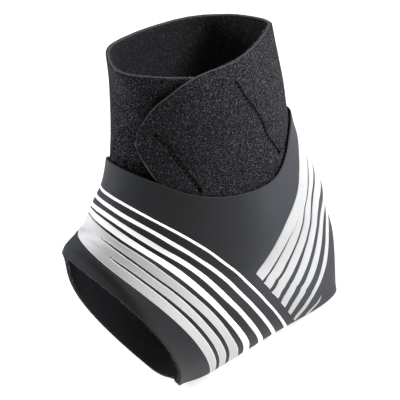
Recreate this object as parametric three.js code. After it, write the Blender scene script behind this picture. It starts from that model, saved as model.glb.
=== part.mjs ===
// Ankle brace: a stretch sleeve round the heel and instep, lined with plush, and above it one padded
// strip that winds once and a quarter round the leg and closes on itself with a hook patch.
// Lengths are in millimetres and angles in degrees. The toes point to -X, the flap closes on the
// -Y side and +Z is up. The brace stands on its flat sole.

import * as THREE from 'three';
import { mergeVertices } from 'three/addons/utils/BufferGeometryUtils.js';

// Overall size of the hollow that the foot and leg fill.
const footLength = 138; // heel to the top of the foot opening
const cuffHeight = 184; // floor to the front of the leg opening
const footWidth = 58;

// Walls, and the gap that keeps each layer clear of the next.
const sleeveWall = 1.0;
const liningWall = 1.0;
const wrapWall = 2.4;
const patchWall = 1.2;
const layerGap = 0.4;

const soleEdge = 3; // height over which the sole rounds up from the floor
const wrapTuck = 18; // how far the wrap reaches down inside the sleeve
const liningDrop = 4; // the lining stops this far below the wrap
const sleeveFlare = 20; // height over which the sleeve widens to take in the wrap

// Sections through the hollow, each at its share of the way from the foot opening, round the heel, to
// the leg opening. A section is a slanted loop between a front point and a back point: places along
// the foot are shares of footLength, heights of cuffHeight and widths of footWidth. A point of 1 is a
// round end, more is a pointed one and less a blunt one. The lean is how far the near side slides
// forward along the loop.
const sectionColumns = [
  'way', 'frontAt', 'frontHeight', 'backAt', 'backHeight', 'width', 'frontPoint', 'backPoint', 'lean',
];
const sections = [
  [0.00, 1.005, 0.565, 0.700, -0.025, 1.130, 2.80, 1.85, 0.38],
  [0.06, 0.990, 0.578, 0.650, -0.010, 1.080, 1.98, 1.46, 0.38],
  [0.20, 0.919, 0.588, 0.350, -0.012, 0.970, 1.40, 1.18, 0.21],
  [0.39, 0.866, 0.590, 0.032, -0.010, 0.902, 1.16, 0.96, 0.06],
  [0.44, 0.849, 0.614, 0.033, 0.026, 0.886, 1.12, 0.86, 0.03],
  [0.56, 0.777, 0.660, -0.010, 0.194, 0.777, 1.12, 0.88, 0.05],
  [0.67, 0.714, 0.735, 0.026, 0.352, 0.731, 1.06, 0.87, 0.09],
  [0.78, 0.672, 0.807, 0.085, 0.545, 0.788, 1.00, 1.09, 0.10],
  [0.89, 0.642, 0.902, 0.072, 0.705, 0.850, 0.84, 1.55, 0.28],
  [1.00, 0.648, 0.998, 0.060, 0.836, 0.865, 0.74, 2.20, 0.60],
];

// The sleeve's top edge, as a share of the way from the foot opening to the leg opening: its mean,
// its rise at the back, and how far the sides dip below the front and back.
const sleeveTop = { mean: 0.711, backRise: 0.107, sideDip: 0.050 };

// The wrap, by its turn from the back of the leg: its hidden start, and where it begins and ends
// climbing onto itself. The closing flap follows.
const wrapStart = 60;
const climbStart = 210;
const climbEnd = 405;

// The flap's edges at each turn: the top edge's share of the way up, and how much of the height
// between the wrap's own lower edge and that top edge is cut away below the flap.
const flapColumns = ['turn', 'top', 'cutBelow'];
const flapEdges = [
  [446.0, 1.000, 0.00],
  [457.5, 0.990, 0.00],
  [467.5, 0.973, 0.01],
  [485.0, 0.932, 0.07],
  [495.0, 0.903, 0.18],
  [502.0, 0.878, 0.30],
  [509.0, 0.842, 0.44],
  [514.0, 0.807, 0.64],
  [517.5, 0.765, 0.88],
];

// The hook patch under the flap: its turns and its share of the way up at the lower and upper edge.
const patch = { start: 427.5, end: 487.5, bottom: 0.70, top: 0.88 };

// How finely the surfaces are divided. The flap's rounded end has columns twice as close.
const turnStep = 7.5;
const flapEnd = 480; // from this turn on
const liningRows = 18;
const collarRows = 5; // of the sleeve, above the lining
const wrapRows = 9;
const patchRows = 5;

const fabric = {
  sleeve: new THREE.MeshStandardMaterial({ color: 0x3f4145, roughness: 0.75, metalness: 0 }),
  plush: new THREE.MeshStandardMaterial({ color: 0x141416, roughness: 0.95, metalness: 0 }),
  loop: new THREE.MeshStandardMaterial({ color: 0x1f1f22, roughness: 0.95, metalness: 0 }),
  hook: new THREE.MeshStandardMaterial({ color: 0x0e0e10, roughness: 0.6, metalness: 0 }),
};

const radians = THREE.MathUtils.degToRad;
const smooth = THREE.MathUtils.smoothstep;

// The values of a table at a place in its first column, on a smooth curve through all its rows.
function between(rows, columns, place) {
  const last = rows.length - 1;
  const next = THREE.MathUtils.clamp(rows.findIndex((row) => row[0] > place), 1, last);
  const row = place >= rows[last][0] ? last : next;
  const span = rows[row][0] - rows[row - 1][0];
  const t = THREE.MathUtils.clamp((place - rows[row - 1][0]) / span, 0, 1);

  const slope = (from, column) => {
    const step = rows[from + 1][0] - rows[from][0];
    return (rows[from + 1][column] - rows[from][column]) / step;
  };
  // At a row, the curve's slope is that of the parabola through the row and its two neighbours.
  const slopeAt = (index, column) => {
    if (index === 0) return slope(0, column);
    if (index === last) return slope(last - 1, column);
    const before = rows[index][0] - rows[index - 1][0];
    const after = rows[index + 1][0] - rows[index][0];
    return (slope(index - 1, column) * after + slope(index, column) * before) / (before + after);
  };
  const values = columns.map((name, column) => {
    const start = rows[row - 1][column];
    const end = rows[row][column];
    const leave = slopeAt(row - 1, column) * span;
    const arrive = slopeAt(row, column) * span;
    const bend = 3 * (end - start) - 2 * leave - arrive;
    const twist = 2 * (start - end) + leave + arrive;
    return [name, start + t * (leave + t * (bend + t * twist))];
  });
  return Object.fromEntries(values);
}

// A height lowered onto the floor, with the edge of the flat sole rounded over soleEdge.
function flattened(height, floor) {
  const above = height - floor;
  if (above > soleEdge) return height;
  if (above < -soleEdge) return floor;
  return floor + (above + soleEdge) ** 2 / (4 * soleEdge);
}

// A point of the brace: its turn round the loop from the back over the near side, its share of the
// way from the foot opening to the leg opening, and its distance outside the hollow.
function bracePoint(turn, share, outside) {
  const row = between(sections, sectionColumns, share);
  const front = new THREE.Vector2(row.frontAt * footLength, row.frontHeight * cuffHeight);
  const back = new THREE.Vector2(row.backAt * footLength, row.backHeight * cuffHeight);
  const middle = front.clone().add(back).multiplyScalar(0.5);
  const halfDepth = front.distanceTo(back) / 2;
  const halfWidth = row.width * footWidth / 2;
  const direction = back.clone().sub(front).normalize();

  // The loop is a cosine and a sine, each raised to the power that makes its ends pointed or blunt.
  const cosine = Math.cos(radians(turn));
  const sine = Math.sin(radians(turn));
  const point = THREE.MathUtils.lerp(row.frontPoint, row.backPoint, (1 + cosine) / 2);
  const blunt = Math.min(point, 1);
  const wide = Math.sign(sine) * halfWidth * Math.abs(sine) ** point;
  const deep = Math.sign(cosine) * halfDepth * Math.abs(cosine) ** blunt - row.lean * wide;

  // Its outward direction, kept from turning too sharply at a pointed end.
  const roundness = 0.3;
  const widening = halfWidth * point * Math.max(Math.abs(sine), roundness) ** (point - 1) * cosine;
  const deepening = halfDepth * blunt * Math.max(Math.abs(cosine), roundness) ** (blunt - 1) * sine;
  const outward = new THREE.Vector2(widening, deepening + row.lean * widening).normalize();

  const along = deep + outside * outward.x;
  const height = middle.y + along * direction.y;
  const soleStack = liningWall + layerGap + sleeveWall;
  return new THREE.Vector3(
    -(middle.x + along * direction.x),
    -(wide + outside * outward.y),
    flattened(height, Math.max(soleStack - outside, 0)),
  );
}

function sleeveTopShare(turn) {
  const angle = radians(turn);
  return sleeveTop.mean + sleeveTop.backRise * Math.cos(angle) + sleeveTop.sideDip * Math.cos(2 * angle);
}

// How far the wrap's inner face lies outside the hollow once it has climbed onto itself.
const flapSeat = wrapWall + layerGap + patchWall + layerGap;

function wrapInside(turn) {
  return flapSeat * smooth(turn, climbStart, climbEnd);
}

function wrapBottomShare(turn) {
  return sleeveTopShare(turn) - wrapTuck / cuffHeight;
}

// The distance outside the hollow at which the sleeve clears whatever wrap lies under it.
function sleeveInside(turn, share) {
  const flapTip = flapEdges.at(-1)[0] - 360;
  const near = flapSeat * (1 - smooth(turn, flapTip - 15, flapTip + 37.5));
  const wrapOutside = wrapWall + Math.max(near, wrapInside(turn));
  const flare = smooth(
    share,
    liningTopShare(turn) - sleeveFlare / cuffHeight,
    liningTopShare(turn),
  );
  return THREE.MathUtils.lerp(liningWall, wrapOutside, flare) + layerGap;
}

// A closed body between two grids of points. A grid is a list of columns, each a list of points from
// the lower edge to the upper one, and a body that goes right round joins its last column to its first.
function bodyBetween(outer, inner, goesRound) {
  const columns = outer.length;
  const rows = outer[0].length;
  const positions = [...outer.flat(), ...inner.flat()].flatMap((point) => point.toArray());
  const out = (column, row) => (column % columns) * rows + row;
  const into = (column, row) => columns * rows + out(column, row);
  const faces = [];
  const quad = (a, b, c, d) => faces.push(a, b, c, a, c, d);
  const spans = goesRound ? columns : columns - 1;

  for (let column = 0; column < spans; column += 1) {
    const next = column + 1;
    for (let row = 0; row < rows - 1; row += 1) {
      quad(out(column, row), out(column, row + 1), out(next, row + 1), out(next, row));
      quad(into(column, row), into(next, row), into(next, row + 1), into(column, row + 1));
    }
    const top = rows - 1;
    quad(out(column, 0), out(next, 0), into(next, 0), into(column, 0));
    quad(out(next, top), out(column, top), into(column, top), into(next, top));
  }
  if (!goesRound) {
    const last = columns - 1;
    for (let row = 0; row < rows - 1; row += 1) {
      quad(out(0, row + 1), out(0, row), into(0, row), into(0, row + 1));
      quad(out(last, row), out(last, row + 1), into(last, row + 1), into(last, row));
    }
  }
  const geometry = new THREE.BufferGeometry();
  geometry.setAttribute('position', new THREE.Float32BufferAttribute(positions, 3));
  geometry.setIndex(faces);
  const merged = mergeVertices(geometry, 1e-3);
  merged.computeVertexNormals();
  return merged;
}

// A grid of points over a run of turns, where edge gives each row's share of the way up.
function surface(turns, rows, shareAt, outsideAt) {
  return turns.map((turn) => Array.from({ length: rows + 1 }, (_, row) => {
    const share = shareAt(turn, row / rows);
    return bracePoint(turn, share, outsideAt(turn, share));
  }));
}

function turnsFrom(start, end, step = turnStep) {
  const steps = Math.round((end - start) / step);
  return Array.from({ length: steps + 1 }, (_, index) => start + (end - start) * index / steps);
}

const fullTurn = turnsFrom(0, 360).slice(0, -1);

function liningTopShare(turn) {
  return wrapBottomShare(turn) - liningDrop / cuffHeight;
}

function sleeveShell() {
  const rows = liningRows + collarRows;
  const shareAt = (turn, part) => {
    const collarPart = (part * rows - liningRows) / collarRows;
    if (collarPart <= 0) return part * rows / liningRows * liningTopShare(turn);
    return THREE.MathUtils.lerp(liningTopShare(turn), sleeveTopShare(turn), collarPart);
  };
  const outer = surface(fullTurn, rows, shareAt, (turn, share) => sleeveInside(turn, share) + sleeveWall);
  const inner = surface(fullTurn, rows, shareAt, sleeveInside);
  return bodyBetween(outer, inner, true);
}

function sleeveLining() {
  const shareAt = (turn, part) => part * liningTopShare(turn);
  const outer = surface(fullTurn, liningRows, shareAt, () => liningWall);
  const inner = surface(fullTurn, liningRows, shareAt, () => 0);
  return bodyBetween(outer, inner, true);
}

function ankleWrap() {
  const shareAt = (turn, part) => {
    const flap = between(flapEdges, flapColumns, turn);
    const bottom = THREE.MathUtils.lerp(wrapBottomShare(turn), flap.top, flap.cutBelow);
    return THREE.MathUtils.lerp(bottom, flap.top, part);
  };
  const turns = [
    ...turnsFrom(wrapStart, flapEnd).slice(0, -1),
    ...turnsFrom(flapEnd, flapEdges.at(-1)[0], turnStep / 2),
  ];
  const outer = surface(turns, wrapRows, shareAt, (turn) => wrapInside(turn) + wrapWall);
  const inner = surface(turns, wrapRows, shareAt, wrapInside);
  return bodyBetween(outer, inner, false);
}

function hookPatch() {
  const shareAt = (turn, part) => THREE.MathUtils.lerp(patch.bottom, patch.top, part);
  const seat = wrapWall + layerGap;
  const turns = turnsFrom(patch.start, patch.end);
  const outer = surface(turns, patchRows, shareAt, () => seat + patchWall);
  const inner = surface(turns, patchRows, shareAt, () => seat);
  return bodyBetween(outer, inner, false);
}

const pieces = [
  ['sleeve_shell', sleeveShell(), fabric.sleeve],
  ['sleeve_lining', sleeveLining(), fabric.plush],
  ['ankle_wrap', ankleWrap(), fabric.loop],
  ['hook_patch', hookPatch(), fabric.hook],
];

const brace = new THREE.Group();
for (const [name, geometry, material] of pieces) {
  const mesh = new THREE.Mesh(geometry, material);
  mesh.name = name;
  brace.add(mesh);
}

// The brace stands on its sole, with its box centred over the origin.
const box = new THREE.Box3().setFromObject(brace);
const centre = box.getCenter(new THREE.Vector3());
brace.position.set(-centre.x, -centre.y, -box.min.z);

export default brace;
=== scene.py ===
import bpy
import numpy as np
from mathutils import Matrix, Vector


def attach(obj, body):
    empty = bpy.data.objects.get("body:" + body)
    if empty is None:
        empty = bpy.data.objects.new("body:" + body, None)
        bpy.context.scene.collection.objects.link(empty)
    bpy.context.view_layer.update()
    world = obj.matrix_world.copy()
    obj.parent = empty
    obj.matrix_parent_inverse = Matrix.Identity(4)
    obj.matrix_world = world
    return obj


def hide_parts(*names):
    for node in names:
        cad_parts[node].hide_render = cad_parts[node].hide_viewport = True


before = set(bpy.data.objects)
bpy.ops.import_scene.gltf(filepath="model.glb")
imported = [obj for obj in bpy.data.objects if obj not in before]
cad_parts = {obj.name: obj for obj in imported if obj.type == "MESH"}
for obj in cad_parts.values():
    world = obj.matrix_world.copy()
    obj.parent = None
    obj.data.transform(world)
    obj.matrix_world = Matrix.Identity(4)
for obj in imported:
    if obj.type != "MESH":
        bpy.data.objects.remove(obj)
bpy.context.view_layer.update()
print("frame loaded:", sorted(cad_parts))

dice = np.random.default_rng(7)

# ---- the brace's shape, which every piece follows

brace = {
    "footLength": 0.138,
    "cuffHeight": 0.184,
    "footWidth": 0.058,
    "toOrigin": 0.06827,  # from the heel to the middle of the frame's box
    "sleeveWall": 0.001,
    "liningWall": 0.001,
    "wrapWall": 0.0024,
    "patchWall": 0.0012,
    "layerGap": 0.0004,
    "soleEdge": 0.003,
    "leastSine": 0.3,  # keeps a loop's normal finite at its pointed ends
    # the foot opening's lowest tip: its turn, how far round and up it reaches, and how it is moved
    "tipTurn": 20,
    "tipSpread": 30,
    "tipReach": 0.10,
    "tipMove": {"farSide": 0.0024, "up": 0.0030, "forward": 0.0018},
    # lift of the leg opening's rim at each turn, and the share from which it sets in
    "rimLift": [[0, .0010], [30, 0], [90, 0], [180, .0002], [210, 0], [225, -.0005],
                [240, -.0011], [262, -.0022], [285, -.0022], [300, -.0015], [315, .0001],
                [345, .0014], [360, .0010]],
    "rimLiftFrom": 0.84,
    "wrapTuck": 0.018,
    "liningDrop": 0.004,
    "sleeveFlare": 0.020,
    # the sleeve's top edge, alike on both sides of the leg: turn from the back, and share
    "sleeveTop": [[0, .815], [25, .812], [40, .788], [60, .733], [80, .679], [100, .642],
                  [122, .626], [145, .641], [163, .651], [180, .655]],
    # the turns at which the strip climbs onto its first turn, and where the flap ends
    "climbStart": 210,
    "climbEnd": 405,
    "flapTip": 517.5,
    "seatFade": [-15, 37.5],  # from here to there past the flap's tip the sleeve closes in again
}

# sections: share, the front end's way along and height, the back end's, the width, how pointed the
# front and the back are, and the lean; ways, heights and widths are parts of the lengths above
sections = np.array([
    [0.00, 1.005, 0.565, 0.700, -0.025, 1.130, 2.80, 1.85, 0.38],
    [0.06, 0.990, 0.578, 0.650, -0.010, 1.080, 1.98, 1.46, 0.38],
    [0.20, 0.924, 0.590, 0.350, -0.012, 0.970, 1.40, 1.18, 0.21],
    [0.39, 0.870, 0.598, 0.032, -0.010, 0.902, 1.16, 0.96, 0.06],
    [0.44, 0.848, 0.613, 0.033, 0.026, 0.886, 1.12, 0.86, 0.03],
    [0.56, 0.769, 0.660, -0.010, 0.194, 0.777, 1.12, 0.88, 0.05],
    [0.67, 0.716, 0.735, 0.026, 0.352, 0.731, 1.06, 0.87, 0.09],
    [0.78, 0.678, 0.807, 0.081, 0.545, 0.788, 1.00, 1.09, 0.10],
    [0.89, 0.648, 0.902, 0.062, 0.705, 0.850, 0.84, 1.55, 0.28],
    [1.00, 0.643, 0.998, 0.055, 0.836, 0.865, 0.74, 2.20, 0.60],
])


# A smooth curve through a table's rows, keyed by the first column: cubic pieces whose slope at a
# row is that of the parabola through it and its neighbours.
def curveThrough(table, at):
    table = np.asarray(table, float)
    keys, values = table[:, 0], table[:, 1:]
    step = np.diff(keys)[:, None]
    rise = np.diff(values, axis=0) / step
    inner = (rise[:-1] * step[1:] + rise[1:] * step[:-1]) / (step[1:] + step[:-1])
    slope = np.vstack([rise[:1], inner, rise[-1:]])
    at = np.clip(np.asarray(at, float), keys[0], keys[-1])
    row = np.clip(np.searchsorted(keys, at, side="right") - 1, 0, len(keys) - 2)
    span = (keys[row + 1] - keys[row])[..., None]
    t = (at - keys[row])[..., None] / span
    a, b, leave, arrive = values[row], values[row + 1], slope[row] * span, slope[row + 1] * span
    square = 3 * (b - a) - 2 * leave - arrive
    cube = 2 * (a - b) + leave + arrive
    return a + t * (leave + t * (square + t * cube))


# 0 before start, 1 after end, and 3t2 - 2t3 in between
def smooth(value, start, end):
    t = np.clip((value - start) / (end - start), 0, 1)
    return t * t * (3 - 2 * t)


# A point of the brace. Each section is a slanted loop: cosine and sine, each raised to the power
# that makes its ends pointed or blunt, sheared by the lean. Outside is how far the point stands off
# the hollow, along the loop's own normal.
def bracePoint(turn, share, outside):
    turn, share, outside = np.broadcast_arrays(
        np.asarray(turn, float), np.asarray(share, float), np.asarray(outside, float))
    row = curveThrough(sections, share)
    frontX, backX = row[..., 0] * brace["footLength"], row[..., 2] * brace["footLength"]
    frontZ, backZ = row[..., 1] * brace["cuffHeight"], row[..., 3] * brace["cuffHeight"]
    halfWidth = row[..., 4] * brace["footWidth"] / 2
    middleX, middleZ = (frontX + backX) / 2, (frontZ + backZ) / 2
    halfDepth = np.hypot(backX - frontX, backZ - frontZ) / 2
    alongX, alongZ = (backX - frontX) / halfDepth / 2, (backZ - frontZ) / halfDepth / 2
    cosine, sine = np.cos(np.radians(turn)), np.sin(np.radians(turn))
    point = row[..., 5] * (1 - cosine) / 2 + row[..., 6] * (1 + cosine) / 2
    blunt = np.minimum(point, 1)
    wide = np.sign(sine) * halfWidth * np.abs(sine) ** point
    deep = np.sign(cosine) * halfDepth * np.abs(cosine) ** blunt - row[..., 7] * wide
    least = brace["leastSine"]
    widening = halfWidth * point * np.maximum(np.abs(sine), least) ** (point - 1) * cosine
    deepening = halfDepth * blunt * np.maximum(np.abs(cosine), least) ** (blunt - 1) * sine
    outX, outY = widening, deepening + row[..., 7] * widening
    length = np.hypot(outX, outY)
    along = deep + outside * outX / length
    height = middleZ + along * alongZ
    soleStack = brace["liningWall"] + brace["layerGap"] + brace["sleeveWall"]
    floor = np.maximum(soleStack - outside, 0)
    above, edge = height - floor, brace["soleEdge"]
    rounded = (above + edge) ** 2 / (4 * edge)
    eased = np.where(above > edge, above, np.where(above < -edge, 0, rounded))
    fromTip = (np.mod(turn + 180, 360) - 180 - brace["tipTurn"]) / brace["tipSpread"]
    tip = (1 - smooth(share, 0, brace["tipReach"])) * np.exp(-fromTip ** 2)
    lift = curveThrough(brace["rimLift"], np.mod(turn, 360))[..., 0]
    lift = lift * smooth(share, brace["rimLiftFrom"], 1.0)
    return np.stack([
        brace["toOrigin"] - (middleX + along * alongX) - tip * brace["tipMove"]["forward"],
        -(wide + outside * outY / length) + tip * brace["tipMove"]["farSide"],
        floor + eased + tip * brace["tipMove"]["up"] + lift,
    ], -1)


# a turn counted the short way from the back, so that both sides are alike
def folded(turn):
    return 180 - np.abs(np.mod(turn, 360) - 180)


def sleeveTop(turn):
    return curveThrough(brace["sleeveTop"], folded(turn))[..., 0]


def wrapBottom(turn):
    return sleeveTop(turn) - brace["wrapTuck"] / brace["cuffHeight"]


def liningTop(turn):
    return wrapBottom(turn) - brace["liningDrop"] / brace["cuffHeight"]


flapSeat = brace["wrapWall"] + brace["patchWall"] + 2 * brace["layerGap"]


# how far the strip's inner face lies outside the hollow as it climbs onto itself
def wrapInside(turn):
    return flapSeat * smooth(turn, brace["climbStart"], brace["climbEnd"])


# the sleeve's inner face, which widens above the lining to take in the wrap
def sleeveInside(turn, share):
    fade = [brace["flapTip"] - 360 + turned for turned in brace["seatFade"]]
    near = wrapInside(turn + 360) * (1 - smooth(turn, *fade))
    wrapOutside = brace["wrapWall"] + np.maximum(near, wrapInside(turn))
    flareFoot = liningTop(turn) - brace["sleeveFlare"] / brace["cuffHeight"]
    flare = smooth(share, flareFoot, liningTop(turn))
    return brace["liningWall"] * (1 - flare) + wrapOutside * flare + brace["layerGap"]


def sleeveOutside(turn, share):
    return sleeveInside(turn, share) + brace["sleeveWall"]


# the length of one whole share at a place, by a small step up the surface
def lengthPerShare(turn, share, outside):
    step = 0.01
    middle = np.clip(share, step, 1 - step)
    low, high = (bracePoint(turn, middle + side, outside) for side in (-step, step))
    return np.linalg.norm(high - low, axis=-1) / (2 * step)


# ---- making meshes from grids

# A mesh from a grid of points. A grid that closes repeats its first line as its last, and the
# repeated points are shared. uv is in metres, and marks are numbers kept on the points.
def meshFromGrid(name, grid, uv, closeRound=False, closeAcross=False, marks=None):
    around, across = grid.shape[:2]
    keepRound, keepAcross = around - closeRound, across - closeAcross
    index = (np.arange(around) % keepRound)[:, None] * keepAcross + (np.arange(across) % keepAcross)
    corners = [np.s_[:-1, :-1], np.s_[1:, :-1], np.s_[1:, 1:], np.s_[:-1, 1:]]
    faces = np.stack([index[c] for c in corners], -1).reshape(-1, 4)
    faceUv = np.stack([uv[c] for c in corners], -2).reshape(-1, 2)
    points = grid[:keepRound, :keepAcross].reshape(-1, 3)
    caps = []
    if closeAcross and not closeRound:  # a tube with two flat ends
        first, last = index[0, :-1], index[-1, :-1]
        caps = [first[::-1], last]
    return meshFromArrays(name, points, faces, faceUv, caps, {
        key: value[:keepRound, :keepAcross].reshape(-1) for key, value in (marks or {}).items()})


# a mesh of four-cornered faces, and perhaps two end caps, from whole arrays
def meshFromArrays(name, points, faces, faceUv=None, caps=(), marks=None):
    mesh = bpy.data.meshes.new(name)
    loops = np.concatenate([faces.reshape(-1), *caps]).astype(np.int32)
    sizes = np.concatenate([np.full(len(faces), faces.shape[1]), [len(cap) for cap in caps]])
    sizes = sizes.astype(np.int32)
    starts = np.concatenate([[0], np.cumsum(sizes)[:-1]]).astype(np.int32)
    mesh.vertices.add(len(points))
    mesh.vertices.foreach_set("co", points.astype(np.float32).ravel())
    mesh.loops.add(len(loops))
    mesh.loops.foreach_set("vertex_index", loops)
    mesh.polygons.add(len(sizes))
    mesh.polygons.foreach_set("loop_start", starts)
    mesh.polygons.foreach_set("loop_total", sizes)
    mesh.update(calc_edges=True)
    mesh.polygons.foreach_set("use_smooth", np.ones(len(sizes), bool))
    if faceUv is not None:
        layer = mesh.uv_layers.new(name="cloth")
        padded = np.zeros((len(loops), 2), np.float32)
        padded[:len(faceUv)] = faceUv
        layer.data.foreach_set("uv", padded.ravel())
    for key, values in (marks or {}).items():
        mark = mesh.attributes.new(key, "FLOAT", "POINT")
        mark.data.foreach_set("value", np.asarray(values, np.float32))
    mesh.validate()
    piece = bpy.data.objects.new(name, mesh)
    bpy.context.collection.objects.link(piece)
    return piece


# distance along a grid's lines, from its first point, in one direction
def distanceAlong(grid, axis):
    steps = np.linalg.norm(np.diff(grid, axis=axis), axis=-1)
    zero = np.zeros_like(np.take(steps, [0], axis=axis))
    return np.concatenate([zero, np.cumsum(steps, axis=axis)], axis=axis)


# Places across a wall's cross-section, going round it: the outer face from low to high, a half
# round at the top, the inner face back down, and a half round at the foot. Each place is how far up
# it is (0 to 1), how far it stands past that end, in half walls, and how far out it is (0 in, 1
# out). The outer face's rows crowd a little towards both ends.
def wallRound(outerRows, innerRows, cornerRows):
    angle = np.radians(np.linspace(0, 180, cornerRows + 2)[1:-1])
    even, crowd = np.linspace(0, 1, outerRows), 0.25
    up = crowd * (0.5 - 0.5 * np.cos(np.pi * even)) + (1 - crowd) * even
    down = np.linspace(1, 0, innerRows)
    height = np.concatenate([up, np.ones_like(angle), down, np.zeros_like(angle), up[:1]])
    past = np.concatenate([0 * up, np.sin(angle), 0 * down, -np.sin(angle), [0]])
    bow = 0.5 * np.cos(angle)
    out = np.concatenate([1 + 0 * up, 0.5 + bow, 0 * down, 0.5 - bow, [1]])
    return height, past, out


# ---- finishes

# A socket in a material. Sums and products of sockets add Math nodes.
class Flow:
    def __init__(self, finish, socket):
        self.finish, self.socket = finish, socket

    def math(self, operation, first, second=0.0):
        return self.finish.node("ShaderNodeMath", {"operation": operation}, {0: first, 1: second})

    def __add__(self, other):
        return self.math("ADD", self, other)

    def __radd__(self, other):
        return self.math("ADD", other, self)

    def __sub__(self, other):
        return self.math("SUBTRACT", self, other)

    def __rsub__(self, other):
        return self.math("SUBTRACT", other, self)

    def __mul__(self, other):
        return self.math("MULTIPLY", self, other)

    def wave(self):
        return self.math("SINE", self)

    def steps(self, start, end):  # 0 below start and 1 above end
        return self.finish.node("ShaderNodeMapRange", {"interpolation_type": "SMOOTHSTEP"},
                                {"Value": self, "From Min": start, "From Max": end})


class Finish:
    def __init__(self, name, **constants):
        self.material = bpy.data.materials.new(name)
        self.material.use_nodes = True
        self.tree = self.material.node_tree
        self.shader = self.tree.nodes["Principled BSDF"]
        for socket, value in constants.items():
            self.shader.inputs[socket.replace("_", " ")].default_value = value

    def node(self, kind, settings=None, inputs=None, output=0):
        made = self.tree.nodes.new(kind)
        for key, value in (settings or {}).items():
            setattr(made, key, value)
        for key, value in (inputs or {}).items():
            self.feed(made.inputs[key], value)
        return Flow(self, made.outputs[output])

    def feed(self, socket, value):
        if isinstance(value, Flow):
            self.tree.links.new(value.socket, socket)
        else:
            socket.default_value = value

    def place(self):
        return self.node("ShaderNodeTexCoord", output="Object")

    def cloth(self):  # the piece's own uv, in metres
        return self.node("ShaderNodeUVMap", {"uv_map": "cloth"})

    def mark(self, name):
        return self.node("ShaderNodeAttribute", {"attribute_name": name}, output="Fac")

    def noise(self, scale, detail, roughness=0.55, distortion=0.0):
        return self.node("ShaderNodeTexNoise", {}, {
            "Vector": self.place(), "Scale": scale, "Detail": detail,
            "Roughness": roughness, "Distortion": distortion})

    def cells(self, scale):
        return self.node("ShaderNodeTexVoronoi", {"feature": "F1"},
                         {"Vector": self.place(), "Scale": scale}, "Distance")

    def blend(self, share, first, second):  # the first colour at 0, the second at 1
        mix = self.node("ShaderNodeMix", {"data_type": "RGBA"}, {0: share}, output=2)
        for key, colour in ((6, first), (7, second)):
            colour = colour if isinstance(colour, Flow) else (*colour, 1)
            self.feed(mix.socket.node.inputs[key], colour)
        return mix

    def bump(self, height, strength, distance):
        return self.node("ShaderNodeBump", {}, {
            "Height": height, "Strength": strength, "Distance": distance}, "Normal")

    def give(self, **sockets):
        for socket, flow in sockets.items():
            self.tree.links.new(flow.socket, self.shader.inputs[socket.replace("_", " ")])
        return self.material


finishes = {
    "sleeveDark": (0.042, 0.045, 0.053),
    "sleeveLight": (0.057, 0.060, 0.070),
    "loopBase": (0.0035, 0.0034, 0.0046),
    "loopSpeck": (0.25, 0.252, 0.28),
    "liningBase": (0.013, 0.013, 0.015),
    "liningSpeck": (0.095, 0.096, 0.103),
    "plushBase": (0.026, 0.026, 0.029),
    "plushSpeck": (0.09, 0.09, 0.097),
    "cutEdge": (0.085, 0.087, 0.093),
    "paintedShadeDark": (0.0008, 0.0008, 0.0009),
    "white": (0.93, 0.93, 0.93),
    "heelPrint": (0.57, 0.575, 0.58),
    "heelRimHighlight": (0.68, 0.68, 0.69),
    "silver": (0.86, 0.865, 0.88),
    "silverRimHighlight": (0.80, 0.80, 0.81),
    "hookBase": (0.004, 0.004, 0.004),
    "hookTip": (0.03, 0.03, 0.032),
    "threadDark": (0.003, 0.003, 0.0035),
    "threadLight": (0.02, 0.02, 0.022),
    "fibreDark": (0.03, 0.03, 0.033),
    "fibreLight": (0.22, 0.22, 0.235),
    "floorDark": (0.44, 0.44, 0.44),
    "floorLight": (0.46, 0.46, 0.46),
    "floorGlow": 0.80,
    "knit": [0.00055, 0.0007],  # a stitch's width and height
    # distances, in metres, over which a look changes: the cut edge's pale line and how far it
    # wavers, the painted shade in a seam's groove, and the painted highlight on a film's rim
    "cutFade": [0.0001, 0.0004],
    "cutWaver": 0.0004,
    "seamShadeFade": [0.0004, 0.0012],
    "rimHighlightFade": [0.00015, 0.00045],
    # Painted light and shade: how much of its colour the cloth keeps, above and near the foot
    # opening, and the silver film, by turn counted from the back. Where less light falls, it is
    # darker. The first two blend between the shares on the next line.
    "shadeEnds": [0.18, 0.38],
    "sleeveShade": [[0, .36], [20, .46], [45, .82], [65, 1.0], [80, .90], [95, .42], [115, .20],
                   [140, .16], [160, .52], [180, 1.0]],
    "footShade": [[0, .22], [20, .26], [45, .36], [60, .24], [90, .17], [110, .14], [140, .20],
                 [150, .36], [160, .58], [170, .92], [180, 1.0]],
    "silverShade": [[0, .72], [60, .70], [75, .68], [90, .64], [100, .58], [110, .50], [120, .44],
                   [130, .38], [140, .36], [150, .43], [160, .68], [170, .95], [180, 1.0]],
}


# fine matt knit: rows of small stitches by two crossed sines, and a slow change of shade
def sleeveCloth():
    finish = Finish("sleeveCloth", Roughness=0.6, Specular_IOR_Level=0.22)
    uv = finish.node("ShaderNodeSeparateXYZ", {}, {0: finish.cloth()})
    up = Flow(finish, uv.socket.node.outputs[1])
    across, high = (2 * np.pi / size for size in finishes["knit"])
    knit = (uv * across).wave() * (up * high).wave()
    grain = finish.noise(2600, 2)
    slow = finish.noise(38, 3)
    shade = slow * 0.6 + grain * 0.35 + knit * 0.05
    height = knit * 0.5 + grain * 0.6
    weave = finish.blend(shade.steps(0.25, 0.75), finishes["sleeveDark"], finishes["sleeveLight"])
    # painted light and shade: the knit's colour is blended towards black by the painted-shade mark
    return finish.give(
        Base_Color=finish.blend(finish.mark("paintedShade"), (0, 0, 0), weave),
        Roughness=0.52 + grain * 0.2,
        Normal=finish.bump(height, 0.35, 0.00006))


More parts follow.
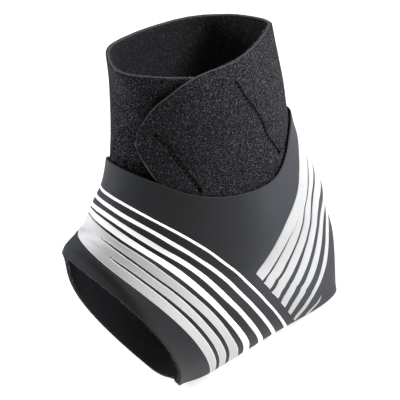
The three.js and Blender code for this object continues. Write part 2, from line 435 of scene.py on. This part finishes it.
# brushed loops: curled specks of light thread over a near-black ground, paler along a cut edge
def loopCloth():
    finish = Finish("loopCloth", Roughness=0.95, Specular_IOR_Level=0.1)
    curls = finish.noise(1350, 4, 0.8, distortion=1.2)
    specks = finish.noise(2200, 2, 0.6)
    lit = (curls * 0.5 + specks * 0.5).steps(0.50, 0.68)
    edge = finish.mark("edge")  # metres from the strip's cut edge
    cut = 1 - (edge + (specks - 0.5) * finishes["cutWaver"]).steps(*finishes["cutFade"])
    # painted shade: the loops go darker in a seam's groove, and by turn where less light falls
    raised = finish.mark("seam").steps(*finishes["seamShadeFade"])  # 0 where a seam pulls the loops in
    ground = finish.blend(lit, finishes["loopBase"], finishes["loopSpeck"])
    ground = finish.blend(finish.mark("paintedShade") * raised, finishes["paintedShadeDark"], ground)
    lining = finish.blend(lit, finishes["liningBase"], finishes["liningSpeck"])
    outer = finish.mark("facing").steps(0.05, 0.3)  # 0 on the inner face, 1 on the outer one
    ground = finish.blend(outer, lining, ground)
    return finish.give(
        Base_Color=finish.blend(cut * 0.8, ground, finishes["cutEdge"]),
        Normal=finish.bump(curls * 0.7 + specks * 0.5, 0.9, 0.0005))


# black plush: short brushed pile in small tufts
def plushPile():
    finish = Finish("plushPile", Roughness=0.98, Specular_IOR_Level=0.05)
    tufts = finish.noise(700, 4, 0.7)
    specks = finish.noise(1700, 2, 0.6)
    lit = (tufts * 0.5 + specks * 0.5).steps(0.54, 0.74)
    return finish.give(
        Base_Color=finish.blend(lit, finishes["plushBase"], finishes["plushSpeck"]),
        Normal=finish.bump(tufts + specks * 0.5, 0.9, 0.0007))


# rows of tiny moulded hooks
def hookTape():
    finish = Finish("hookTape", Roughness=0.45)
    hooks = 1 - finish.cells(1100)
    tint = finish.blend(hooks.steps(0.4, 0.8), finishes["hookBase"], finishes["hookTip"])
    return finish.give(Base_Color=tint, Normal=finish.bump(hooks, 0.8, 0.0006))


# Heat-pressed film: an even colour with faint beads, darker by the given part between them, and a
# rim colour, a painted highlight along its raised edge. The glow is painted light, an even
# emission in place of the light that its beads send back.
def printFilm(name, colour, rim, beads, paintedGlow=0.0, paintShade=False):
    finish = Finish(name, Specular_IOR_Level=0.2,
                    Emission_Color=(1, 1, 1, 1), Emission_Strength=paintedGlow)
    grain = finish.noise(2200, 2)
    inner = finish.mark("edge").steps(*finishes["rimHighlightFade"])
    dimmed = tuple(c * (1 - beads) for c in colour)
    tint = finish.blend(grain.steps(0.35, 0.65), dimmed, colour)
    # painted shade: the film is darkened by turn where less light falls
    if paintShade:
        tint = finish.blend(finish.mark("paintedShade"), (0, 0, 0), tint)
    return finish.give(
        # the rim colour is a painted highlight along the film's edge
        Base_Color=finish.blend(inner, rim, tint),
        Roughness=0.52 + grain * 0.16,
        Normal=finish.bump(grain, 0.2, 0.00005))


def threadCord():
    finish = Finish("threadCord", Roughness=0.7, Sheen_Weight=0.2)
    twist = finish.noise(5000, 2)
    return finish.give(
        Base_Color=finish.blend(twist, finishes["threadDark"], finishes["threadLight"]),
        Normal=finish.bump(twist, 0.5, 0.00008))


def straightFibre():
    finish = Finish("straightFibre", Roughness=0.7)
    change = finish.noise(900, 1).steps(0.35, 0.65)
    return finish.give(
        Base_Color=finish.blend(change, finishes["fibreDark"], finishes["fibreLight"]))


def paleFloor():
    finish = Finish("paleFloor", Roughness=0.9, Specular_IOR_Level=0.1,
                    Emission_Color=(1, 1, 1, 1), Emission_Strength=finishes["floorGlow"])
    dust = finish.noise(3, 2)
    return finish.give(Base_Color=finish.blend(dust, finishes["floorDark"], finishes["floorLight"]))


materials = {
    "sleeve": sleeveCloth(),
    "loop": loopCloth(),
    "plush": plushPile(),
    "hook": hookTape(),
    # the white film's glow is painted light
    "white": printFilm("whiteFilm", finishes["white"], finishes["white"], 0.03, paintedGlow=0.22),
    "heel": printFilm("heelFilm", finishes["heelPrint"], finishes["heelRimHighlight"], 0.08),
    # the silver film carries painted shade by turn
    "silver": printFilm("silverFilm", finishes["silver"], finishes["silverRimHighlight"], 0.12, paintShade=True),
    "thread": threadCord(),
    "fibre": straightFibre(),
    "floor": paleFloor(),
}
print("finishes made:", len(materials))


# ---- the sleeve and its lining

sleeve = {"columns": 360, "outerRows": 170, "innerRows": 34, "cornerRows": 5}
lining = {"columns": 360, "outerRows": 24, "innerRows": 110, "cornerRows": 5}
# the lining's uneven pile: its depth, and two crossed waves, each per degree of turn and per share
pile = {"depth": 0.0002, "waves": [[1.9, 211], [0.83, -157]]}
mostReach = 0.02  # of a share, where a wall's rounded edge lies nearly flat


# A tube wall from the foot opening to an upper edge: the cross-section of wallRound carried round
# every turn.
def tubeWall(name, values, topAt, insideAt, wall, piled=False):
    turn = np.linspace(0, 360, values["columns"] + 1)[:, None]
    height, past, out = wallRound(values["outerRows"], values["innerRows"], values["cornerRows"])
    top = topAt(turn)
    end = top * (height > 0.5)
    reach = wall / 2 / lengthPerShare(turn, end, insideAt(turn, end))
    share = np.clip(reach, 0, mostReach) * past + height * (top - 2 * reach) + reach
    outside = insideAt(turn, share) + wall * out
    if piled:
        first, second = (np.sin(turn * around + share * up) for around, up in pile["waves"])
        ripple = 0.5 + 0.5 * (first * second) * np.sin(np.radians(turn) / 2) ** 2
        outside = outside - pile["depth"] * (1 - out) * ripple
    grid = bracePoint(turn, share, outside)
    uv = np.stack([distanceAlong(grid, 0), distanceAlong(grid, 1)], -1)
    # painted light and shade by turn, darker where less light falls, from foot opening to sleeve
    high, low = (curveThrough(finishes[key], folded(turn))[..., 0]
                 for key in ("sleeveShade", "footShade"))
    paintedShades = low + (high - low) * smooth(share, *finishes["shadeEnds"])
    return meshFromGrid(name, grid, uv, closeRound=True, closeAcross=True, marks={"paintedShade": paintedShades})


# the lining's inner face is the hollow itself
def liningInside(turn, share):
    return 0 * turn * share


sleevePiece = tubeWall("sleeve", sleeve, sleeveTop, sleeveInside, brace["sleeveWall"])
liningPiece = tubeWall("lining", lining, liningTop, liningInside, brace["liningWall"], piled=True)
sleevePiece.data.materials.append(materials["sleeve"])
liningPiece.data.materials.append(materials["plush"])
print("sleeve and lining made:", len(sleevePiece.data.polygons), len(liningPiece.data.polygons))


# ---- the wrap

wrap = {
    "start": 60,  # the strip's turns run from here to the flap's tip
    "mainColumns": [120, 70],  # up to seamsFrom, and from there to the flap
    "seamsFrom": 400,
    "flapColumns": 130,
    "outerRows": 130,
    "innerRows": 40,
    "cornerRows": 7,
    "edgeRadius": 0.0011,
    "mostReach": 0.3,  # of the strip's height, for its rounded cut edge
    "thinEdge": 0.35,  # the wall left at a cut edge
    # top edge by turn, lowered at the hidden start
    "startTop": [[60, .950], [75, .960], [90, .970], [100, .979], [110, .985], [120, .990],
                 [130, .995], [145, 1.000], [440, 1.000]],
    # painted shade: how much of its colour the outer face keeps, by turn counted from the back
    "loopShade": [[0, 1], [55, 1], [75, .93], [95, .84], [115, .70], [135, .62], [150, .66],
                 [165, .92], [180, 1]],
    "edgeOnFlap": 0.25,  # distances from the flap's edge count this much, to widen its pale line
    "pinch": 0.0003,  # how far the sleeve's edge presses into it
    "pinchFade": [0.004, 0.050],  # the shares above that edge over which this ends
    # station along the flap, turn, upper edge, and how far its lower edge stands above the strip's
    "flap": [
        [0.00, 446.0, 1.000, 0.000],
        [0.16, 457.5, 0.990, 0.000],
        [0.30, 467.5, 0.973, 0.004],
        [0.50, 485.0, 0.932, 0.030],
        [0.66, 498.0, 0.892, 0.078],
        [0.80, 508.0, 0.846, 0.128],
        [0.92, 515.0, 0.799, 0.177],
        [1.00, 517.5, 0.756, 0.206],
    ],
    "stationCrowd": 1.35,  # the flap's columns crowd towards its tip
    # stitch rows on the flap, from the upper end down: a count, turn and share
    "rightSeam": [[0, 436.0, 0.948], [1, 434.5, 0.890], [2, 428.0, 0.843], [3, 424.0, 0.797],
                  [4, 417.0, 0.755]],
    "leftSeam": [[0, 501.5, 0.807], [1, 494.5, 0.772], [2, 489.5, 0.730], [3, 483.0, 0.682],
                 [4, 477.0, 0.636]],
    "seamSteps": 90,
    "seamNear": 12,  # only faces within so many degrees of a seam are measured
    "seamFar": 0.01,  # and the rest count as so far away
    "groove": 0.0011,
    "grooveWidth": 0.0007,
    "stitchLength": 0.0021,
    "stitchGap": 0.0008,
    "stitchRadius": 0.00022,
    "stitchSink": 0.9,  # of the groove's depth
    "stitchArch": 0.00022,
    "stitchTaper": [0.5, 0.9, 1, 1, 1, 0.9, 0.5],
    "stitchSides": 6,
}


# the outer face of the strip, pressed in where the sleeve's edge holds it
def wrapOutside(turn, share):
    held = 1 - smooth(share, *(sleeveTop(turn) + above for above in wrap["pinchFade"]))
    return wrapInside(turn) + brace["wrapWall"] - wrap["pinch"] * held


def seamPoints(table, count):
    turnShare = curveThrough(table, np.linspace(0, table[-1][0], count))
    return turnShare[:, 0], turnShare[:, 1]


# The strip: a wall of the given height between a lower and an upper edge, carried along its turns.
# Within edgeRadius of a cut edge both faces round in to meet.
def wrapStrip():
    main = np.concatenate([
        np.linspace(wrap["start"], wrap["seamsFrom"], wrap["mainColumns"][0], endpoint=False),
        np.linspace(wrap["seamsFrom"], wrap["flap"][0][1], wrap["mainColumns"][1], endpoint=False)])
    stations = 1 - (1 - np.linspace(0, 1, wrap["flapColumns"])) ** wrap["stationCrowd"]
    flap = curveThrough(wrap["flap"], stations)
    turn = np.concatenate([main, flap[:, 0]])[:, None]
    top = np.concatenate([curveThrough(wrap["startTop"], main)[:, 0], flap[:, 1]])[:, None]
    raised = np.concatenate([np.zeros_like(main), flap[:, 2]])[:, None]
    bottom = wrapBottom(turn) + raised
    height, past, out = wallRound(wrap["outerRows"], wrap["innerRows"], wrap["cornerRows"])
    half = brace["wrapWall"] / 2
    unit = lengthPerShare(turn, (top + bottom) / 2, wrapInside(turn))
    reach = np.minimum(half / unit, (top - bottom) * wrap["mostReach"])
    share = bottom + reach + height * (top - bottom - 2 * reach) + reach * past
    flapEdge = np.where(raised > 0, wrap["edgeOnFlap"], 1)
    fromEdge = np.minimum((share - bottom) * flapEdge, top - share) * unit
    middleLine = bracePoint(turn, np.clip((top + bottom) / 2, 0, 1), wrapInside(turn))
    run = distanceAlong(middleLine, 0)
    fromTip = run[-1] - run
    fromRim = np.minimum(np.minimum(share - bottom, top - share) * unit, fromTip)
    near = np.clip(fromRim / wrap["edgeRadius"], 0, 1)
    edge = np.minimum(fromEdge, fromTip * wrap["edgeOnFlap"])
    bulge = np.sqrt(1 - (1 - near) ** 2)
    inside, wallOut = wrapInside(turn), wrapOutside(turn, share)
    middle = (inside + wallOut) / 2
    thickness = wrap["thinEdge"] + (1 - wrap["thinEdge"]) * bulge
    outside = middle + (out - 0.5) * (wallOut - inside) * thickness
    grid = bracePoint(turn, share, outside)
    seamAway = np.full(grid.shape[:2], wrap["seamFar"])
    for table in (wrap["rightSeam"], wrap["leftSeam"]):
        seamTurn, seamShare = seamPoints(table, wrap["seamSteps"])
        seam = bracePoint(seamTurn, seamShare, wrapOutside(seamTurn, seamShare))
        first, last = seamTurn.min() - wrap["seamNear"], seamTurn.max() + wrap["seamNear"]
        nearby = (turn > first) & (turn < last) & (out > 0.9)
        picked = grid[nearby]
        distance = np.sqrt(((picked[:, None] - seam[None]) ** 2).sum(-1).min(1))
        seamAway[nearby] = np.minimum(seamAway[nearby], distance)
    outside = outside - wrap["groove"] * np.exp(-(seamAway / wrap["grooveWidth"]) ** 2)
    grid = bracePoint(turn, share, outside)
    uv = np.stack([distanceAlong(grid, 0), distanceAlong(grid, 1)], -1)
    # the painted shade by turn, kept on the points
    paintedShade = curveThrough(wrap["loopShade"], folded(turn))[..., 0]
    marks = {"edge": edge, "seam": seamAway, "paintedShade": paintedShade, "facing": out}
    marks = {key: np.broadcast_to(value, share.shape) for key, value in marks.items()}
    return meshFromGrid("wrap", grid, uv, closeAcross=True, marks=marks)


# Many small round cords at once: each is a line of points with a radius at each, made a tube with
# closed ends.
def smallCords(name, lines, radii, sides):
    count, length = lines.shape[:2]
    along = np.gradient(lines, axis=1)
    along /= np.linalg.norm(along, axis=-1, keepdims=True) + 1e-12
    helper = np.where(np.abs(along[..., 2:]) < 0.9, [[[0, 0, 1.0]]], [[[1.0, 0, 0]]])
    first = np.cross(along, helper)
    first /= np.linalg.norm(first, axis=-1, keepdims=True) + 1e-12
    second = np.cross(along, first)
    angle = np.linspace(0, 2 * np.pi, sides, endpoint=False)
    ring = first[:, :, None] * np.cos(angle)[:, None] + second[:, :, None] * np.sin(angle)[:, None]
    points = (lines[:, :, None] + ring * radii[:, :, None, None]).reshape(-1, 3)
    base = (np.arange(count) * length * sides)[:, None, None]
    place = np.arange(length - 1)[None, :, None] * sides
    a = base + place + np.arange(sides)[None, None]
    b = base + place + (np.arange(sides) + 1)[None, None] % sides
    faces = np.stack([a, b, b + sides, a + sides], -1).reshape(-1, 4)
    start = (np.arange(count) * length * sides)[:, None] + np.arange(sides)[::-1]
    end = (np.arange(count) * length * sides)[:, None] + (length - 1) * sides + np.arange(sides)
    return meshFromArrays(name, points, faces, caps=[*start, *end])


# thread stitches sunk in a seam's groove: short cords that dip at both ends
def seamStitches():
    lines = []
    for table in (wrap["rightSeam"], wrap["leftSeam"]):
        turn, share = seamPoints(table, 400)
        track = bracePoint(turn, share, wrapOutside(turn, share))
        run = distanceAlong(track, 0)
        pitch = wrap["stitchLength"] + wrap["stitchGap"]
        starts = np.arange(pitch / 2, run[-1] - pitch, pitch)
        part = np.linspace(0, 1, len(wrap["stitchTaper"]))
        places = starts[:, None] + wrap["stitchLength"] * part
        arch = wrap["stitchArch"] * np.sin(np.pi * part) ** 0.6
        depth = wrap["groove"] * wrap["stitchSink"] - arch
        at = np.interp(places, run, turn), np.interp(places, run, share)
        lines.append(bracePoint(at[0], at[1], wrapOutside(*at) - depth))
    lines = np.concatenate(lines)
    radii = wrap["stitchRadius"] * np.array(wrap["stitchTaper"])
    radii = np.broadcast_to(radii, lines.shape[:2])
    return smallCords("seam_stitches", lines, radii, wrap["stitchSides"])


wrapPiece = wrapStrip()
wrapPiece.data.materials.append(materials["loop"])
stitchPiece = seamStitches()
stitchPiece.data.materials.append(materials["thread"])
print("wrap made:", len(wrapPiece.data.polygons), "stitches:", len(stitchPiece.data.polygons))


# ---- the printed stripes

prints = {
    "lift": 0.00016,  # a film's height on the cloth
    "sink": 0.00035,  # and how deep its underside lies
    "rim": 0.00014,
    "mostRim": 0.25,  # of a band's width
    "rimDrop": 0.75,  # how far down its lift falls at a rim
    "noRim": 0.002,  # a joined edge counts as so far away
    "perDegree": 0.0006,  # about the length of one degree of turn on the heel
    "whiteRows": 4,
    "silverRows": 10,
    "heelRows": 6,
    "heelStations": 150,
    "slitLeast": 0.0025,  # a narrower slit is closed
    "slitRim": 0.006,  # and from this width it has its full rims
    # bands round the foot: share of each edge by turn, from the sole (0) past the instep (180):
    # four white stripes, then the silver band with its two slits and its lower edge
    "bandColumns": ["turn", "top1", "foot1", "top2", "foot2", "top3", "foot3", "top4", "foot4",
                    "top5", "slit1Top", "slit1Foot", "slit2Top", "slit2Foot", "foot5"],
    "bands": [
        [0, .240, .235, .214, .206, .187, .177, .161, .150, .140, .124, .117, .105, .098, .090],
        [30, .2495, .2435, .225, .217, .197, .187, .168, .157, .147, .130, .123, .111, .104, .092],
        [45, .261, .2555, .235, .227, .207, .197, .179, .167, .156, .140, .133, .119, .112, .096],
        [60, .2815, .2755, .252, .243, .222, .2105, .191, .178, .166, .151, .143, .128, .120, .101],
        [75, .314, .306, .278, .2675, .2435, .231, .208, .193, .181, .163, .153, .137, .128, .106],
        [90, .3705, .3575, .3185, .304, .2745, .2565, .234, .214, .200, .176, .166, .146, .136,
         .109],
        [100, .427, .411, .361, .342, .305, .283, .256, .231, .214, .185, .176, .151, .141, .110],
        [110, .462, .452, .406, .383, .344, .317, .284, .252, .231, .195, .185, .156, .146, .110],
        [120, .485, .476, .441, .421, .383, .353, .318, .277, .251, .205, .193, .160, .150, .110],
        [130, .503, .494, .463, .446, .410, .381, .352, .308, .280, .220, .206, .166, .155, .111],
        [140, .517, .509, .480, .466, .435, .407, .382, .340, .312, .241, .221, .170, .161, .116],
        [150, .531, .522, .494, .479, .454, .430, .409, .371, .347, .269, .247, .178, .183, .127],
        [160, .543, .533, .506, .490, .470, .449, .432, .397, .380, .304, .291, .195, .199, .143],
        [170, .552, .541, .518, .502, .483, .462, .449, .417, .407, .334, .346, .224, .224, .167],
        [180, .558, .547, .524, .510, .489, .470, .460, .432, .426, .368, .368, .262, .262, .197],
        [190, .560, .549, .525, .511, .489, .472, .465, .442, .436, .385, .385, .285, .285, .234],
    ],
    # the heel's stripes: the upper and lower edge of each, by turn and share, from the back of the
    # heel down to the cut end, and last the thin arc under them
    "heel": [
        [[[0, .795], [24, .774], [48, .716], [61.5, .657], [70, .611], [76.6, .567],
          [80.2, .534], [82.7, .501], [84.9, .464], [86.7, .431], [87.2, .420]],
         [[0, .777], [24, .755], [46, .700], [57, .650], [65.6, .604], [69.1, .576],
          [72.9, .546], [76.6, .504], [79.1, .470], [82.1, .423], [83.7, .391]]],
        [[[0, .777], [24, .755], [46, .700], [57, .650], [65.6, .604], [69, .576], [72.4, .546],
          [75.6, .505], [78, .471], [80.9, .426], [82.6, .381]],
         [[0, .760], [22, .742], [43, .698], [53.2, .657], [61.3, .613], [65.4, .568],
          [67.3, .535], [69.6, .506], [72.6, .476], [75.7, .436], [77.7, .392], [78, .359]]],
        [[[0, .757], [22, .739], [42, .696], [52.2, .657], [60.5, .613], [64.1, .567],
          [65.8, .535], [68.1, .507], [70.9, .477], [74, .439], [75.7, .396], [75.7, .346]],
         [[0, .736], [20, .719], [38, .689], [49.8, .651], [55.9, .612], [58.3, .565],
          [59.7, .534], [62.6, .508], [66.2, .480], [69.4, .446], [70.9, .405], [71.6, .363],
          [69.4, .328]]],
        [[[0, .731], [20, .714], [37, .684], [48, .650], [54.4, .612], [56.2, .564],
          [57.7, .534], [60.5, .508], [63.6, .482], [66.7, .449], [68.2, .411], [68.9, .368],
          [66.8, .329], [64.9, .314]],
         [[0, .700], [18, .688], [33, .664], [42, .640], [47.2, .607], [49.2, .561], [52, .534],
          [55.2, .510], [58.7, .484], [62.2, .453], [64, .419], [65, .375], [63.2, .336],
          [59, .301]]],
        [[[0, .682], [16, .670], [30, .642], [41.3, .602], [45.5, .560], [49, .534],
          [52.4, .510], [55.6, .486], [58.9, .456], [60.8, .424], [61.7, .380], [60.1, .341],
          [55.9, .306], [52.5, .289]],
         [[0, .650], [14, .638], [26, .615], [35, .590], [40.7, .559], [44.3, .534],
          [47.5, .511], [50.8, .487], [54.5, .458], [56.9, .429], [58, .384], [56.8, .346],
          [52.6, .310], [47.5, .283]]],
        [[[0, .640], [13, .628], [23, .606], [31, .580], [36.4, .558], [39.8, .534],
          [42.8, .511], [45.9, .488], [49.5, .460], [52, .434], [53.3, .389], [52.3, .351],
          [48, .315], [41.5, .283], [37.5, .272]],
         [[0, .612], [12, .602], [22, .586], [31.5, .557], [35.3, .533], [38.3, .511],
          [41.7, .488], [45.9, .462], [48.8, .436], [50.5, .392], [49.7, .353], [45.1, .318],
          [38.1, .285], [32.5, .269]]],
        [[[0, .281], [12, .283], [26, .292], [34, .309], [37.8, .326], [39.8, .341], [42, .358],
          [44.3, .378]],
         [[0, .275], [13, .277], [27.5, .287], [36, .305], [39.3, .322], [41.2, .339],
          [43, .357], [44.4, .378]]],
    ],
    "heelJoin": [64, 71],  # the first two stripes part between these turns
}


# A thin raised band between two edge lines on the sleeve, each given by its turns and its shares.
# Across it, the film rises over its rim to full lift, and its underside is sunk in the cloth. A rim
# of 0 is no rim, where the band joins its neighbour.
def filmBand(lowTurn, lowShare, highTurn, highShare, across, closed, lowRim=1.0, highRim=1.0):
    low = bracePoint(lowTurn, lowShare, sleeveOutside(lowTurn % 360, lowShare))
    high = bracePoint(highTurn, highShare, sleeveOutside(highTurn % 360, highShare))
    width = np.maximum(np.linalg.norm(high - low, axis=-1), 1e-6)[:, None]
    rim = np.minimum(prints["rim"] / width, prints["mostRim"])
    inner = rim + (1 - 2 * rim) * np.linspace(0, 1, across)
    part = np.concatenate([np.zeros_like(rim), inner, np.ones_like(rim)], 1)
    lowRim, highRim = (np.broadcast_to(x, len(low))[:, None] for x in (lowRim, highRim))
    lowLift, highLift = 1 - prints["rimDrop"] * lowRim, 1 - prints["rimDrop"] * highRim
    lift = np.concatenate([lowLift, np.ones((len(low), across)), highLift], 1) * prints["lift"]
    part = np.concatenate([part, part[:, ::-1], part[:, :1]], 1)
    lift = np.concatenate([lift, 0 * lift - prints["sink"], lift[:, :1]], 1)
    turn = lowTurn[:, None] * (1 - part) + highTurn[:, None] * part
    share = lowShare[:, None] * (1 - part) + highShare[:, None] * part
    grid = bracePoint(turn, share, sleeveOutside(turn % 360, share) + lift)
    fromLow = part * width + (1 - lowRim) * prints["noRim"]
    fromHigh = (1 - part) * width + (1 - highRim) * prints["noRim"]
    uv = np.stack([distanceAlong(grid, 0), part * width], -1)
    # painted shade of the silver film, by turn
    paintedShade = curveThrough(finishes["silverShade"], folded(turn))[..., 0]
    return grid, uv, {"edge": np.minimum(fromLow, fromHigh), "paintedShade": paintedShade}, closed


# several bands as one piece
def filmPiece(name, bands, material):
    made = []
    for number, (grid, uv, marks, closed) in enumerate(bands):
        made.append(meshFromGrid(f"{name}{number}", grid, uv, closeRound=closed,
                                 closeAcross=True, marks=marks))
    joined = joinPieces(name, made)
    joined.data.materials.append(material)
    return joined


def joinPieces(name, made):
    bpy.ops.object.select_all(action="DESELECT")
    for piece in made:
        piece.select_set(True)
    bpy.context.view_layer.objects.active = made[0]
    bpy.ops.object.join()
    made[0].name = made[0].data.name = name
    return made[0]


# The bands' edges at every turn. They peak a little past the instep, at the table's last row, and
# the far side is the near one's mirror image, drawn in to fit.
def bandEdges():
    turn = np.linspace(0, 360, sleeve["columns"] + 1)
    table = [[-row[0], *row[1:]] for row in prints["bands"][2:0:-1]] + prints["bands"]
    peak = prints["bands"][-1][0]
    table = table + [[2 * peak - row[0], *row[1:]] for row in prints["bands"][-2:-4:-1]]
    nearTurn = np.where(turn <= peak, turn, (360 - turn) * peak / (360 - peak))
    return turn, dict(zip(prints["bandColumns"][1:], curveThrough(table, nearTurn).T))


def footBands():
    turn, edges = bandEdges()
    white = [filmBand(turn, edges[f"foot{n}"], turn, edges[f"top{n}"], prints["whiteRows"], True)
             for n in (1, 2, 3, 4)]
    silver, joined = [], {"top5": 1.0, "foot5": 1.0}
    for n in (1, 2):  # a slit closes where its two sides meet
        upper, lower = edges[f"slit{n}Top"], edges[f"slit{n}Foot"]
        met = upper - lower < prints["slitLeast"]
        middle = (upper + lower) / 2
        edges[f"slit{n}Top"] = np.where(met, middle, upper)
        edges[f"slit{n}Foot"] = np.where(met, middle, lower)
        rims = smooth(np.where(met, 0, upper - lower), 0, prints["slitRim"])
        joined[f"slit{n}Top"] = joined[f"slit{n}Foot"] = rims
    for low, high in (("slit1Top", "top5"), ("slit2Top", "slit1Foot"), ("foot5", "slit2Foot")):
        silver.append(filmBand(turn, edges[low], turn, edges[high], prints["silverRows"], True,
                               joined[low], joined[high]))
    return white, silver


# A smooth line through rows of turn and share, keyed by the distance between them, with its mirror
# image on the far side of the heel.
def heelLine(rows):
    rows = np.array(rows, float)
    steps = np.diff(rows, axis=0) * [prints["perDegree"], brace["cuffHeight"]]
    key = np.concatenate([[0], np.cumsum(np.hypot(*steps.T))])
    keyed = np.column_stack([key, rows])
    mirrored = keyed[2:0:-1] * [-1, -1, 1]
    at = np.linspace(0, key[-1], prints["heelStations"])
    turn, share = curveThrough([*mirrored, *keyed], at).T
    return np.concatenate([-turn[:0:-1], turn]), np.concatenate([share[:0:-1], share])


def heelBands():
    bands = []
    for number, (upperRows, lowerRows) in enumerate(prints["heel"]):
        upper, lower = heelLine(upperRows), heelLine(lowerRows)
        upperRim = smooth(np.abs(upper[0]), *prints["heelJoin"]) if number == 1 else 1.0
        lowerRim = smooth(np.abs(lower[0]), *prints["heelJoin"]) if number == 0 else 1.0
        bands.append(filmBand(*lower, *upper, prints["heelRows"], False, lowerRim, upperRim))
    return bands


whiteBands, silverBands = footBands()
whitePiece = filmPiece("print_white", whiteBands, materials["white"])
silverPiece = filmPiece("print_silver", silverBands, materials["silver"])
heelPiece = filmPiece("print_heel", heelBands(), materials["heel"])
print("prints made:", [len(piece.data.polygons) for piece in (whitePiece, silverPiece, heelPiece)])


# ---- loose fibres along the cut edges

fibres = {
    "legCount": 1500,
    "footCount": 700,
    "legTurns": [75, 440],  # along both turns of the strip
    "legInset": 0.001,  # how far below the strip's top edge, as a share
    "footRoot": [0.003, 0.0004],  # at the foot opening: share, and how far off the hollow
    "spread": 0.0008,  # of the roots over the edge's thickness
    "back": 0.03,  # a share down the wall, which the hairs point away from
    "lean": 0.55,
    "length": 0.0009,
    "lengths": [0.35, 1.2],
    "sunk": 0.0003,
    "radius": 0.00004,
    "taper": [1.2, 1, 0.4],
    "lowest": 0.0001,  # above the floor
    "sides": 3,
}


# short bent hairs that stand out of the rims, with their roots in the cloth
def rimFibres():
    lines = []
    for rim in ("leg", "foot"):
        count = fibres[rim + "Count"]
        turn, (share, inside) = dice.uniform(0, 360, count), fibres["footRoot"]
        if rim == "leg":
            turn = dice.uniform(*fibres["legTurns"], count)
            share = curveThrough(wrap["startTop"], turn)[:, 0] - fibres["legInset"]
            inside = wrapInside(turn) + brace["wrapWall"] / 2
        spread = dice.uniform(-fibres["spread"], fibres["spread"], count)
        root = bracePoint(turn, share, inside + spread)
        away = root - bracePoint(turn, np.abs(share - fibres["back"]), inside)
        away /= np.linalg.norm(away, axis=-1, keepdims=True)
        lean = dice.normal(0, fibres["lean"], (count, 3))
        reach = fibres["length"] * dice.uniform(*fibres["lengths"], count)[:, None]
        mid = root + (away + lean * 0.5) * reach * 0.5
        end = mid + (away * 0.5 + lean) * reach * 0.5
        lines.append(np.stack([root - away * fibres["sunk"], mid, end], 1))
    lines = np.concatenate(lines)
    lines[..., 2] = np.maximum(lines[..., 2], fibres["lowest"])
    radii = np.broadcast_to(fibres["radius"] * np.array(fibres["taper"]), lines.shape[:2])
    return smallCords("rim_fibres", lines, radii, fibres["sides"])


fibrePiece = rimFibres()
fibrePiece.data.materials.append(materials["fibre"])
print("fibres made:", len(fibrePiece.data.polygons))


# ---- the body that each piece rides on

for piece, slotName in (
        (sleevePiece, "sleeve_cloth"), (liningPiece, "plush"), (wrapPiece, "loop_cloth"),
        (stitchPiece, "loop_cloth"), (whitePiece, "sleeve_cloth"), (silverPiece, "sleeve_cloth"),
        (heelPiece, "sleeve_cloth"), (fibrePiece, "loop_cloth")):
    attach(piece, "root")
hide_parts("sleeve_shell")
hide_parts("sleeve_lining")
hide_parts("ankle_wrap")
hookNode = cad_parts["hook_patch"]
hookNode.data.materials.clear()
hookNode.data.materials.append(materials["hook"])


# ---- camera, floor and light

view = {
    "azimuth": 32.36,
    "elevation": 36.06,
    "roll": -13.9,
    "distance": 2.561,
    "focal": 5567.9,  # in pixels
    "pixels": 400,
    "sensor": 36,
    "clipEnd": 30,
    "aim": (0.00827, 0, 0.090),
    "offset": (-0.000377, -0.00339),
}
studio = {
    "floorSize": 12,
    "worldStrength": 0.20,
    # each light's place, aim, size and power
    "lights": {
        "key": [(1.25, -0.75, 0.85), (0.02, 0, 0.09), 0.6, 35],
        "left": [(-1.1, 0.5, 0.9), (-0.03, 0, 0.05), 0.5, 14],
        "above": [(0.1, 0.4, 1.6), (0, 0, 0), 1.6, 4],
    },
}


def addCamera():
    azimuth, elevation, roll = (np.radians(view[k]) for k in ("azimuth", "elevation", "roll"))
    level = np.cos(elevation)
    back = np.array([-np.sin(azimuth) * level, -np.cos(azimuth) * level, np.sin(elevation)])
    right = np.array([np.cos(azimuth), -np.sin(azimuth), 0])
    up = np.cross(back, right)
    across = right * np.cos(roll) + up * np.sin(roll)
    upward = -right * np.sin(roll) + up * np.cos(roll)
    place = np.array(view["aim"]) + back * view["distance"]
    place = place + across * view["offset"][0] + upward * view["offset"][1]
    camera = bpy.data.objects.new("camera", bpy.data.cameras.new("camera"))
    camera.data.sensor_width = view["sensor"]
    camera.data.lens = view["focal"] / view["pixels"] * view["sensor"]
    camera.data.clip_end = view["clipEnd"]
    camera.matrix_world = Matrix([
        [across[i], upward[i], back[i], place[i]] for i in range(3)] + [[0, 0, 0, 1]])
    bpy.context.collection.objects.link(camera)
    bpy.context.scene.camera = camera


def areaLight(name, place, aim, size, power):
    light = bpy.data.lights.new(name, "AREA")
    light.size, light.energy = size, power
    lamp = bpy.data.objects.new(name, light)
    lamp.location = place
    lamp.rotation_euler = (Vector(aim) - Vector(place)).to_track_quat("-Z", "Y").to_euler()
    bpy.context.collection.objects.link(lamp)


addCamera()
bpy.ops.mesh.primitive_plane_add(size=studio["floorSize"], location=(0, 0, 0))
floor = bpy.context.object
floor.name = "floor"
floor.data.materials.append(materials["floor"])

world = bpy.data.worlds.new("studio")
bpy.context.scene.world = world
world.use_nodes = True
world.node_tree.nodes["Background"].inputs["Color"].default_value = (1, 1, 1, 1)
world.node_tree.nodes["Background"].inputs["Strength"].default_value = studio["worldStrength"]
for lightName, values in studio["lights"].items():
    areaLight(lightName, *values)
bpy.context.scene.view_settings.view_transform = "Standard"
print("camera, floor and light made")
